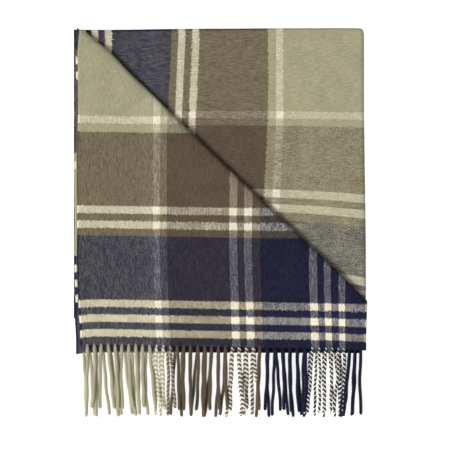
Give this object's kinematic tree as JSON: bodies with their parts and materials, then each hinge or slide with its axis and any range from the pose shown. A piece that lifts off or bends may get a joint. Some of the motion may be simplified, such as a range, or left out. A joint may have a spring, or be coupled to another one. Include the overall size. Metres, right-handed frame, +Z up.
{
  "type": "folded throw blanket",
  "caption": "Fringed plaid throw in the size of a wrap, folded into a flat pile with one diagonal fold across its top and both fringes together at the front.",
  "frame": {"origin": "under the middle of the pile's bounding box, on the table", "axes": "+Z up out of the table, +Y from the fringe towards the pile's top edge, +X to the right when seen from above with the fringe nearest"},
  "size_m": [0.3547, 0.4715, 0.0156],
  "materials": {
    "plaid_cloth": "brushed twill, matte, sage, brown and navy checks with cream lines",
    "sage_yarn": "twisted two-ply yarn, matte",
    "cream_sage_twist": "twisted two-ply yarn, matte",
    "brown_sage_twist": "twisted two-ply yarn, matte",
    "brown_yarn": "twisted two-ply yarn, matte",
    "brown_cream_twist": "twisted two-ply yarn, matte",
    "navy_yarn": "twisted two-ply yarn, matte",
    "cream_navy_twist": "twisted two-ply yarn, matte"
  },
  "bodies": {
    "root": {"folded_cloth": "plaid_cloth", "front_tassel_01": "sage_yarn", "front_tassel_02": "sage_yarn", "front_tassel_03": "sage_yarn", "front_tassel_04": "sage_yarn", "front_tassel_05": "sage_yarn", "front_tassel_06": "sage_yarn", "front_tassel_07": "sage_yarn", "front_tassel_08": "sage_yarn", "front_tassel_09": "sage_yarn", "front_tassel_10": "sage_yarn", "front_tassel_11": "cream_sage_twist", "front_tassel_12": "cream_sage_twist", "front_tassel_13": "brown_sage_twist", "front_tassel_14": "brown_yarn", "front_tassel_15": "brown_yarn", "front_tassel_16": "brown_yarn", "front_tassel_17": "brown_yarn", "front_tassel_18": "brown_yarn", "front_tassel_19": "brown_yarn", "front_tassel_20": "brown_yarn", "front_tassel_21": "brown_yarn", "front_tassel_22": "brown_cream_twist", "front_tassel_23": "brown_cream_twist", "front_tassel_24": "brown_cream_twist", "front_tassel_25": "brown_cream_twist", "front_tassel_26": "brown_yarn", "front_tassel_27": "navy_yarn", "front_tassel_28": "navy_yarn", "front_tassel_29": "navy_yarn", "front_tassel_30": "navy_yarn", "front_tassel_31": "navy_yarn", "front_tassel_32": "navy_yarn", "front_tassel_33": "cream_navy_twist", "front_tassel_34": "cream_navy_twist", "front_tassel_35": "cream_navy_twist", "front_tassel_36": "cream_navy_twist", "front_tassel_37": "cream_navy_twist", "front_tassel_38": "cream_navy_twist", "front_tassel_39": "navy_yarn", "front_tassel_40": "navy_yarn", "front_tassel_41": "navy_yarn", "back_tassels_01": "sage_yarn", "back_tassels_02": "sage_yarn", "back_tassels_03": "sage_yarn", "back_tassels_04": "sage_yarn", "back_tassels_05": "brown_sage_twist", "back_tassels_06": "brown_yarn", "back_tassels_07": "brown_yarn", "back_tassels_08": "brown_cream_twist", "back_tassels_09": "brown_cream_twist", "back_tassels_10": "navy_yarn", "back_tassels_11": "navy_yarn", "back_tassels_12": "cream_navy_twist", "back_tassels_13": "cream_navy_twist", "back_tassels_14": "navy_yarn"}
  },
  "joints": []
}
